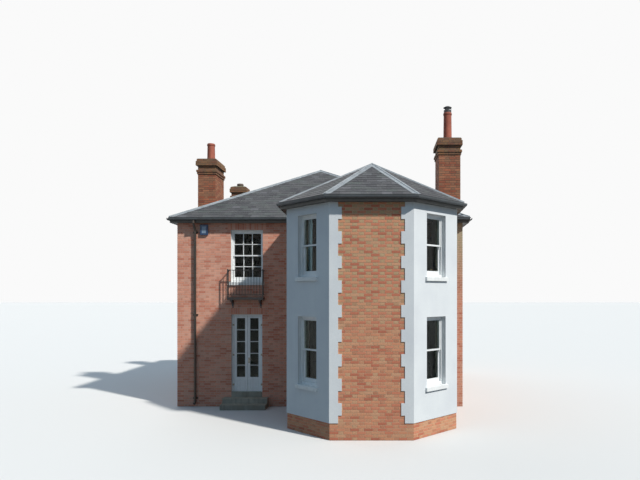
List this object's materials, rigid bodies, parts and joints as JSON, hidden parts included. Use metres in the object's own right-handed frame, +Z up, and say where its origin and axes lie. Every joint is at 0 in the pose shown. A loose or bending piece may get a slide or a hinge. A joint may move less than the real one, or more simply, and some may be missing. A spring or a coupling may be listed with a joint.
{
  "type": "brick house with canted end wing",
  "caption": "Brick house under hipped slate roofs, with a canted end wing, sash windows, a small balcony and glazed doors that open.",
  "frame": {"origin": "on the ground, under the middle of the house's overall box", "axes": "+Z up, the front with the wing and the doors looks along -Y, +X to the right seen from the front"},
  "size_m": [9.62, 12.96, 9.735],
  "materials": {
    "brick": "red brick in lime mortar",
    "wing_brick": "orange brick with grey headers",
    "white_stucco": "white painted stucco",
    "chimney_brick": "weathered red brick",
    "terracotta": "fired clay",
    "cowl_metal": "sooty metal",
    "stone_floor": "stone flags",
    "floor_boards": "oiled boards",
    "lead": "weathered lead",
    "slate": "natural slate",
    "eaves_paint": "dark painted boards",
    "gutter_iron": "dark painted iron",
    "pipe_iron": "dark painted iron",
    "window_glass": "clear",
    "painted_stone": "white painted stone",
    "step_stone": "worn stone",
    "hinge_metal": "white painted steel",
    "balcony_iron": "dark painted iron",
    "alarm_plastic": "blue housing",
    "window_paint": "white gloss paint"
  },
  "bodies": {
    "house": {"front_wall_left_of_door": "brick", "front_wall_right_of_door": "brick", "front_wall_over_door": "brick", "front_wall_right_end": "brick", "left_wall": "brick", "right_wall": "brick", "back_wall": "brick", "wing_left_wall": "brick", "wing_right_wall": "brick", "wing_left_facet": "wing_brick", "wing_front_facet": "wing_brick", "wing_right_facet": "wing_brick", "left_facet_stucco": "white_stucco", "right_facet_stucco": "white_stucco", "ground_floor": "stone_floor", "first_floor": "floor_boards", "main_roof": "slate", "wing_roof": "slate", "main_roof_leads": "lead", "wing_roof_leads": "lead", "soffits": "eaves_paint", "fascias": "eaves_paint", "gutters": "gutter_iron", "downpipes": "pipe_iron", "right_chimney": "chimney_brick", "left_chimney": "chimney_brick", "rear_chimney": "chimney_brick", "chimney_pots": "terracotta", "chimney_cowl": "cowl_metal", "wing_windows": "window_paint", "wing_window_glass": "window_glass", "front_window": "window_paint", "front_window_glass": "window_glass", "side_windows": "window_paint", "side_window_glass": "window_glass", "back_windows": "window_paint", "back_window_glass": "window_glass", "stone_sills": "painted_stone", "door_left_post": "window_paint", "door_right_post": "window_paint", "door_head": "window_paint", "doorstep": "step_stone", "door_hinge_pins": "hinge_metal", "balcony_floor": "balcony_iron", "balcony_railing": "balcony_iron", "alarm_box": "alarm_plastic"},
    "left_leaf": {"left_door_leaf": "window_paint", "left_door_glass": "window_glass"},
    "right_leaf": {"right_door_leaf": "window_paint", "right_door_glass": "window_glass"}
  },
  "joints": [
    {"name": "left_leaf_hinge", "type": "hinge", "parent": "house", "child": "left_leaf", "pos_m": [-2.758, -1.9993, 1.6865], "axis": [0, 0, -1], "range_deg": [0, 90]},
    {"name": "right_leaf_hinge", "type": "hinge", "parent": "house", "child": "right_leaf", "pos_m": [-1.892, -1.9993, 1.6865], "axis": [0, 0, 1], "range_deg": [0, 90]}
  ]
}
